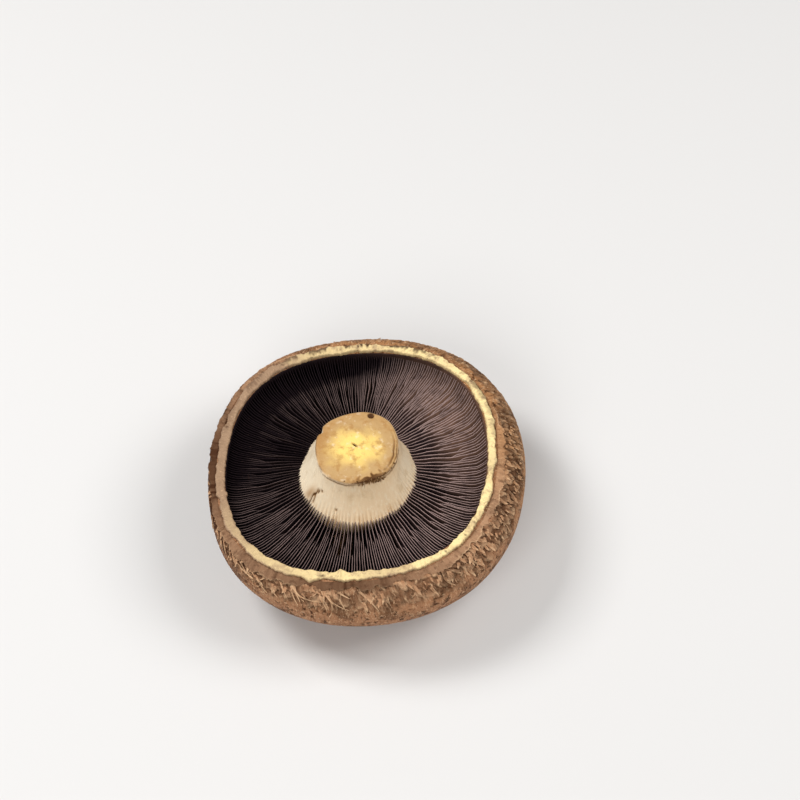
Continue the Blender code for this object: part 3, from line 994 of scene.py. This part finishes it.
class MUSHROOM_OT_stem(Operator):
    """Make the stem: a flared, fluted foot and a domed cut face"""
    bl_idname = "mushroom.stem"
    bl_label = "Stem"

    SIDE_ROWS = 46
    CUT_ROWS = 50
    SIDE_LENGTH = 13 * MM       # length of the side as noise sees it
    EDGE_ROUNDING = 0.4 * MM
    FLUTES = 96
    SCAR_AT = -141              # directions in degrees
    SOIL_AT = -70
    PEEL_AT = -12
    SPECKS = ((-134, 1.6, 0.55, 0.03), (-112, 1.2, 0.34, 0.025))
    SLIT = Vector((-0.6, 0.4, 0.0))     # places in mm from the middle of the cut
    HOLE = Vector((3.9, 10.6, 0.0))
    CUT_BUMPS = ((0.18, 0.30), (0.10, 0.9), (0.05, 2.2))

    def execute(self, context):
        scene = context.scene
        cap = Cap(scene.mushroom_cap)
        sizes = scene.mushroom_stem
        bm = bmesh.new()
        names = ("pale", "cut", "yellow", "ochre", "stain")
        layers = dict(zip(names, write_layers(bm, names)))
        for vert, azimuth, row in drum(bm, self.SIDE_ROWS + self.CUT_ROWS + 1, sizes.steps):
            if row == 0:
                vert.co = (cap.stem_centre.x, cap.stem_centre.y, cap.seat_height)
            elif row <= self.SIDE_ROWS:
                self.side_vert(cap, sizes, vert, (row - 1) / (self.SIDE_ROWS - 1), azimuth, layers)
            else:
                share = ((row - self.SIDE_ROWS) / self.CUT_ROWS) ** 1.6
                self.cut_vert(cap, sizes, vert, share, azimuth, layers)
        closed_up(bm)
        finished(bm, "stem", stem_material("stem flesh", scene.mushroom_finish), "stem")
        self.crumbs(cap, sizes, scene.mushroom_finish)
        return {"FINISHED"}

    def top_outline(self, sizes, azimuth):
        """Radius of the cut face in one direction."""
        outline = sizes.top_radius + sizes.top_oval * math.cos(2 * (azimuth - sizes.top_oval_turn))
        outline -= 0.25 * MM * math.cos(4 * azimuth - 0.7) + 0.9 * MM * facing(azimuth, 152, 5)
        return outline + 0.22 * MM * ragged(azimuth, 18, 5.5)

    def foot_outline(self, sizes, azimuth):
        """Radius of the foot in one direction."""
        outline = sizes.foot_radius - 0.9 * MM * facing(azimuth, 160, 18)
        outline += 0.7 * MM * facing(azimuth, -85, 45)
        return outline + 0.25 * MM * ragged(azimuth, 12, 8.5)

    def cut_height(self, sizes, where):
        """Height of the cut plane above one point."""
        return sizes.top_height + where.y * math.tan(sizes.cut_turn)

    def set_place(self, cap, sizes, vert, where, height, share):
        """Put a vertex over the stem's centre, leaning by a share."""
        vert.co = cap.stem_centre + where + Vector(sizes.lean) * share
        vert.co.z = height

    def scar_and_lip(self, at, share, azimuth):
        """The old scar low on the left of the side with its two specks, and the raised lip beside it."""
        middle = self.SCAR_AT + 14 * (share - 0.36)
        scar = bump(apart(azimuth, middle + 4 * noise.noise(at * 0.5)), 0, 1.7)
        scar *= smooth(0.08, 0.18, share) * smooth(0.60, 0.48, share) * (1.15 + 0.6 * noise.noise(at * 0.8))
        for direction, width, height, reach in self.SPECKS:
            scar = max(scar, facing(azimuth, direction, width) * bump(share, height, reach))
        lip = facing(azimuth, middle - 6, 5.0) * bump(share, 0.34, 0.18)
        return scar, lip

    def side_vert(self, cap, sizes, vert, share, azimuth, layers):
        """Place a point of the side, whose share goes from the foot up to the cut."""
        front = 0.5 + 0.5 * math.cos(azimuth - math.radians(-60))
        flute = math.sin(self.FLUTES * azimuth + 5 * ragged(azimuth, 30, 3.5))
        depth = (0.10 + 0.34 * front) * smooth(0.55, 0.0, share) * (0.7 + 0.8 * ragged(azimuth, 40, 1.0))
        at = skin_place(share * self.SIDE_LENGTH, azimuth)
        rough = 0.20 * noise.noise(at * 0.12)
        rough += 0.10 * noise.noise(Vector((at.x * 0.5, at.y * 0.5, at.z * 0.15)))
        scar, lip = self.scar_and_lip(at, share, azimuth)
        peel = 1.4 * bump(share, 0.945, 0.025) * facing(azimuth, self.PEEL_AT, 32)
        crease = max(bump(share, 0.955, 0.018) * facing(azimuth, -115, 26), peel)
        flare = (1 - share) ** sizes.flare_power
        radius = mix(self.top_outline(sizes, azimuth), self.foot_outline(sizes, azimuth), flare)
        radius += (depth * flute + rough + 0.40 * lip - 0.35 * scar - 0.18 * crease) * MM
        if share == 0:
            where = level(sizes.foot_radius - 0.5 * MM, azimuth)
            height = cap.seat_height + 0.3 * MM
        else:
            where = level(radius, azimuth)
            cut_edge = self.cut_height(sizes, where) - self.EDGE_ROUNDING
            height = mix(sizes.flare_height - 0.8 * MM, cut_edge, share)
        self.set_place(cap, sizes, vert, where, height, share)
        # Painted light: the side is paler on the left and on the right, where the light falls.
        lit_left = 0.75 * facing(azimuth, 185, 60)
        lit_right = 0.5 * facing(azimuth, -2, 38) * smooth(0.9, 0.6, share)
        groove = smooth(0.2, -0.9, flute) * smooth(0.40, 0.0, share) * front
        soil_edge = share + 0.12 * noise.noise(at * 0.6)
        spilt = facing(azimuth, self.SOIL_AT, 27) * smooth(0.88, 0.98, soil_edge)
        marks = max(0.9 * scar, 0.8 * crease, 0.9 * spilt)
        ochre = 0.7 * lip + 0.35 * smooth(0.16, 0.0, share) + 0.7 * groove + marks
        stain = 0.9 * scar ** 2 + 0.7 * crease + 0.8 * spilt ** 2
        vert[layers["pale"]] = min(0.10 + lit_left + lit_right, 1.0)
        vert[layers["ochre"]] = min(ochre, 1.0)
        vert[layers["stain"]] = min(stain, 1.0)

    def slit_and_hole(self, at):
        """The small slit near the middle of the cut and the dark hole by its far edge."""
        from_slit = at - self.SLIT
        along = from_slit.dot(Vector((0.8, -0.6, 0)))
        aside = from_slit.dot(Vector((0.6, 0.8, 0)))
        return bump(along, 0, 0.75) * bump(aside, 0, 0.24), smooth(1.15, 0.55, (at - self.HOLE).length)

    def cut_vert(self, cap, sizes, vert, share, azimuth, layers):
        """Place a point of the cut face, whose share goes from its edge in to its middle."""
        reach = 1 - share
        where = level(self.top_outline(sizes, azimuth) * reach, azimuth)
        at = where / MM
        slit, hole = self.slit_and_hole(at)
        ring_at = reach + 0.012 * ragged(azimuth, 40, 3.0)
        ring = max(bump(ring_at, 0.895, 0.024), 0.8 * bump(ring_at, 0.965, 0.016))
        ring *= facing(azimuth, self.PEEL_AT, 32)
        fallen = 1 - math.sqrt(max(1 - (1 - min(share / 0.06, 1.0)) ** 2, 0.0))
        bumps = rough_at(at, self.CUT_BUMPS) * smooth(1.0, 0.9, reach)
        height = self.cut_height(sizes, where) - self.EDGE_ROUNDING * fallen + sizes.crown * (1 - reach ** 2)
        height += (bumps - 1.2 * slit - 0.6 * hole - 0.30 * ring) * MM
        self.set_place(cap, sizes, vert, where, height, 1.0)
        middle = math.hypot((at.x + 0.8) / 1.2, at.y + 0.5)
        wander = 1.8 * noise.noise(at * 0.25) + 0.6 * noise.noise(at * 0.6)
        dirt = facing(azimuth, self.SOIL_AT, 32) * smooth(0.82, 0.94, reach + 0.16 * noise.noise(at * 0.9))
        rim_line = 0.7 * smooth(0.955, 1.0, reach) * smooth(-0.4, 0.3, ragged(azimuth, 30, 7.0))
        ochre = 0.75 * facing(azimuth, 168, 38) * smooth(0.50, 0.95, reach)
        ochre += 0.35 * facing(azimuth, 75, 45) * smooth(0.55, 0.95, reach)
        ochre += 0.9 * max(slit, hole, dirt, ring)
        stain = max(slit, hole) * 1.4 + 0.95 * dirt ** 2 + 0.85 * ring ** 1.5 + 0.8 * rim_line
        vert[layers["cut"]] = smooth(0.0, 0.03, share)
        vert[layers["yellow"]] = 1 - smooth(2.6, 8.6, middle + wander)
        vert[layers["ochre"]] = min(ochre, 1.0)
        vert[layers["stain"]] = min(stain, 1.0)

    def crumbs(self, cap, sizes, finish):
        """Crumbs of soil along the near edge of the cut."""
        chance = Random(5)
        bm = bmesh.new()
        for _ in range(sizes.crumbs):
            azimuth = math.radians(chance.gauss(self.SOIL_AT, 17))
            reach = 1.0 + chance.gauss(-0.01, 0.035)
            where = level(self.top_outline(sizes, azimuth) * reach, azimuth)
            height = self.cut_height(sizes, where) - 0.1 * MM - max(reach - 1, 0) * 16 * MM
            size = chance.uniform(0.10, 0.34) * MM
            scale = Matrix.Diagonal((size * chance.uniform(0.8, 1.8), size, size * 0.7, 1.0))
            spin = Matrix.Rotation(chance.uniform(0, math.pi), 4, "Z")
            spot = cap.stem_centre + where + Vector(sizes.lean)
            spot.z = height
            placed = Matrix.Translation(spot) @ spin @ scale
            bmesh.ops.create_icosphere(bm, subdivisions=1, radius=1.0, matrix=placed)
        finished(bm, "soil_crumbs", soil_material("soil", finish), "stem")


class MUSHROOM_OT_skin_flakes(Operator):
    """Make the torn scales and loose fibres of the skin below the rim"""
    bl_idname = "mushroom.skin_flakes"
    bl_label = "Skin flakes"

    NEAR_LEFT = 26              # how many of the raised fibres are wide ones on the left of the near side
    WIDEST = 10                 # how many of those are widest

    def execute(self, context):
        scene = context.scene
        cap = Cap(scene.mushroom_cap)
        self.flakes(cap, skin_material("torn skin", scene.mushroom_finish, 0.12))
        self.threads(cap, skin_material("raised fibres", scene.mushroom_finish, 0.35))
        return {"FINISHED"}

    def strip(self, cap, bm, layers, reach, azimuth, twist, shape):
        """One tongue that lies along the skin and rises off it in an arc, narrowing to its tip."""
        grid = bmesh.ops.create_grid(bm, x_segments=shape["across"], y_segments=shape["along"], size=0.5)
        faces = {face for vert in grid["verts"] for face in vert.link_faces}
        under = bmesh.ops.extrude_face_region(bm, geom=list(faces), use_keep_orig=True)["geom"]
        under = [item for item in under if isinstance(item, bmesh.types.BMVert)]
        bmesh.ops.translate(bm, verts=under, vec=(0, 0, -1))
        seed = shape["seed"]
        curl = shape["curl"]
        whole = shape["length"]
        for vert in grid["verts"] + under:
            aside = vert.co.x * 2
            along = vert.co.y + 0.5
            width = shape["width"] * (1 - 0.94 * along ** shape["taper"])
            width *= 1 + 0.6 * noise.noise(Vector((along * 3, seed, aside)))
            run = along * (1 + 0.4 * noise.noise(Vector((aside * 2, seed, 3.0))))
            forward = math.sin(curl * run) / curl * whole
            out = (1 - math.cos(curl * run)) / curl * whole * shape["lift"]
            out += vert.co.z * shape["thick"] - 0.15 * aside ** 2 * width + shape["base"]
            bend = shape["bend"] * along * along * whole
            across = aside * width / 2 + bend
            down = max(reach + forward * math.cos(twist) - across * math.sin(twist), 0.0)
            turned = azimuth + (forward * math.sin(twist) + across * math.cos(twist)) / cap.radius
            vert.co = cap.kept_inside(cap.skin_frame(down, turned) @ Vector((0.0, 0.0, out)))
            vert[layers[0]] = smooth(0.35, 1.0, along) * shape["pale"]
            vert[layers[2]] = skin_place(down, turned)

    def flakes(self, cap, material):
        """Curled scales in a belt below the collar."""
        chance = Random(21)
        bm, layers = skin_mesh()
        for _ in range(cap.flakes):
            azimuth = chance.uniform(-math.pi, math.pi)
            bare = 0.88 * facing(azimuth, 106, 52) + 0.66 * facing(azimuth, -100, 42)
            bare += 0.70 * facing(azimuth, 40, 30)
            if chance.random() < bare:
                continue
            right = facing(azimuth, 0, 40)
            belt = 2.2 + 1.2 * ragged(azimuth, 11, 1.0)
            reach = (belt + chance.uniform(-0.4, 4.6)) * MM
            twist = chance.gauss(0, 0.35) - 0.6 * right
            size = chance.uniform(0.2, 1.0) ** 2.2
            shape = {
                "length": (1.0 + 2.6 * size) * MM, "width": (0.35 + 1.0 * size) * MM,
                "taper": chance.uniform(1.4, 4.0), "curl": chance.uniform(0.3, 1.0) + 0.9 * right,
                "bend": chance.gauss(0, 0.25), "lift": chance.uniform(0.08, 0.40), "thick": 0.13 * MM,
                "base": 0.05 * MM, "pale": chance.uniform(0.1, 1.0),
                "across": 3, "along": 4, "seed": chance.uniform(0, 90),
            }
            self.strip(cap, bm, layers, reach, azimuth, twist, shape)
        bmesh.ops.recalc_face_normals(bm, faces=bm.faces)
        finished(bm, "skin_flakes", material, "cap")

    def threads(self, cap, material):
        """Raised fibres: wide and long ones on the left of the near side, and thin ones all round."""
        chance = Random(34)
        bm, layers = skin_mesh()
        for number in range(cap.threads):
            near_left = number < self.NEAR_LEFT
            wide = 3.0 if number < self.WIDEST else 1.9 if near_left else 1.0
            azimuth = math.radians(chance.gauss(-128, 16)) if near_left else chance.uniform(-math.pi, math.pi)
            reach = chance.uniform(0.8 if near_left else 2.6, 4.5 if near_left else 11.0) * MM
            twist = chance.gauss(0.45, 0.3) if near_left else chance.gauss(0, 0.3)
            shape = {
                "length": chance.uniform(2.0, 3.5) * MM * (2.1 if near_left else 1.0),
                "width": chance.uniform(0.22, 0.36) * MM * wide,
                "taper": 2.0, "curl": 0.12, "bend": chance.gauss(0, 0.3), "lift": 0.5, "thick": 0.24 * MM,
                "base": 0.08 * MM, "pale": 1.0 if near_left else chance.uniform(0.0, 0.8),
                "across": 1, "along": 6, "seed": chance.uniform(0, 90),
            }
            self.strip(cap, bm, layers, reach, azimuth, twist, shape)
        bmesh.ops.recalc_face_normals(bm, faces=bm.faces)
        finished(bm, "skin_threads", material, "cap")


class MUSHROOM_OT_stage(Operator):
    """Make the pale floor, the soft lights and the camera"""
    bl_idname = "mushroom.stage"
    bl_label = "Stage"

    # name, azimuth and elevation in degrees, distance and width in metres, power in watts
    LIGHTS = (
        ("key", 158, 50, 0.9, 0.35, 5.4),
        ("front", -112, 38, 1.0, 0.5, 4.4),
        ("right", 5, 50, 0.9, 0.5, 4.6),
    )
    PHOTO_SIZE = 800.0
    SENSOR = 36.0

    def execute(self, context):
        sizes = context.scene.mushroom_stage
        self.floor(context, sizes)
        self.lights(context, sizes)
        self.camera(context, sizes)
        return {"FINISHED"}

    def floor(self, context, sizes):
        """A plain pale floor at the height that the mushroom lies on."""
        bm = bmesh.new()
        bmesh.ops.create_grid(bm, x_segments=1, y_segments=1, size=3.0)
        mesh = bpy.data.meshes.new("floor")
        bm.to_mesh(mesh)
        bm.free()
        shade = Shader("floor", 0.8)
        shade.feed(sizes.floor, shade.principled.inputs["Base Color"])
        mesh.materials.append(shade.material)
        floor = bpy.data.objects.new("floor", mesh)
        context.scene.collection.objects.link(floor)

    def lights(self, context, sizes):
        """Three large soft lights, from the left, the front and the right, and pale surroundings."""
        aim = Vector(sizes.aim)
        for name, azimuth, elevation, away, size, power in self.LIGHTS:
            light = bpy.data.lights.new(name, "AREA")
            light.shape = "SQUARE"
            light.size = size
            light.energy = power
            lamp = bpy.data.objects.new(name, light)
            outward = level(math.cos(math.radians(elevation)), math.radians(azimuth))
            outward.z = math.sin(math.radians(elevation))
            lamp.location = aim + outward * away
            lamp.rotation_euler = outward.to_track_quat("Z", "Y").to_euler()
            context.scene.collection.objects.link(lamp)
        world = bpy.data.worlds.new("pale room")
        world.use_nodes = True
        background = Nodes(world.node_tree)
        background.feed(sizes.room, world.node_tree.nodes["Background"].inputs["Color"])
        background.feed(sizes.room_light, world.node_tree.nodes["Background"].inputs["Strength"])
        context.scene.world = world
        context.scene.view_settings.view_transform = "Standard"

    def camera(self, context, sizes):
        """The camera in front of and above the mushroom, turned so that the aim shows where it should."""
        lens = self.SENSOR * sizes.distance / sizes.seen_width
        data = bpy.data.cameras.new("camera")
        data.sensor_width = self.SENSOR
        data.lens = lens
        camera = bpy.data.objects.new("camera", data)
        outward = Vector((0.0, -math.cos(sizes.elevation), math.sin(sizes.elevation)))
        across = (sizes.aim_across / self.PHOTO_SIZE - 0.5) * self.SENSOR / lens
        down = (sizes.aim_down / self.PHOTO_SIZE - 0.5) * self.SENSOR / lens
        looking = outward.to_track_quat("Z", "Y").to_matrix()
        turned = Vector((across, -down, -1.0)).rotation_difference(Vector((0.0, 0.0, -1.0))).to_matrix()
        spot = Matrix.Translation(Vector(sizes.aim) + outward * sizes.distance)
        camera.matrix_world = spot @ (looking @ turned).to_4x4()
        context.scene.collection.objects.link(camera)
        context.scene.camera = camera


PIECES = (
    MUSHROOM_OT_cap_skin,
    MUSHROOM_OT_torn_collar,
    MUSHROOM_OT_skin_flakes,
    MUSHROOM_OT_rim_flesh,
    MUSHROOM_OT_gills,
    MUSHROOM_OT_stem,
    MUSHROOM_OT_stage,
)

GROUPS = {
    "mushroom_cap": CapSizes,
    "mushroom_gills": GillSizes,
    "mushroom_stem": StemSizes,
    "mushroom_finish": Finish,
    "mushroom_stage": StageSizes,
}


class MUSHROOM_PT_panel(Panel):
    """The mushroom's sizes, colours and pieces"""
    bl_idname = "MUSHROOM_PT_panel"
    bl_label = "Brown mushroom"
    bl_space_type = "VIEW_3D"
    bl_region_type = "UI"
    bl_category = "Mushroom"

    def draw(self, context):
        for name, group in GROUPS.items():
            column = self.layout.column(align=True)
            for each in group.__annotations__:
                column.prop(getattr(context.scene, name), each)
        column = self.layout.column(align=True)
        for piece in PIECES:
            column.operator(piece.bl_idname)


def register():
    """Register the groups, the operators and the panel."""
    for name, group in GROUPS.items():
        bpy.utils.register_class(group)
        setattr(bpy.types.Scene, name, PointerProperty(type=group))
    for each in (*PIECES, MUSHROOM_PT_panel):
        bpy.utils.register_class(each)


def unregister():
    """Take them off again."""
    for each in reversed((*PIECES, MUSHROOM_PT_panel)):
        bpy.utils.unregister_class(each)
    for name, group in GROUPS.items():
        delattr(bpy.types.Scene, name)
        bpy.utils.unregister_class(group)


def main():
    """Make every piece and the stage."""
    register()
    bpy.ops.mushroom.cap_skin()
    bpy.ops.mushroom.torn_collar()
    bpy.ops.mushroom.skin_flakes()
    bpy.ops.mushroom.rim_flesh()
    bpy.ops.mushroom.gills()
    bpy.ops.mushroom.stem()
    bpy.ops.mushroom.stage()


if __name__ == "__main__":
    main()
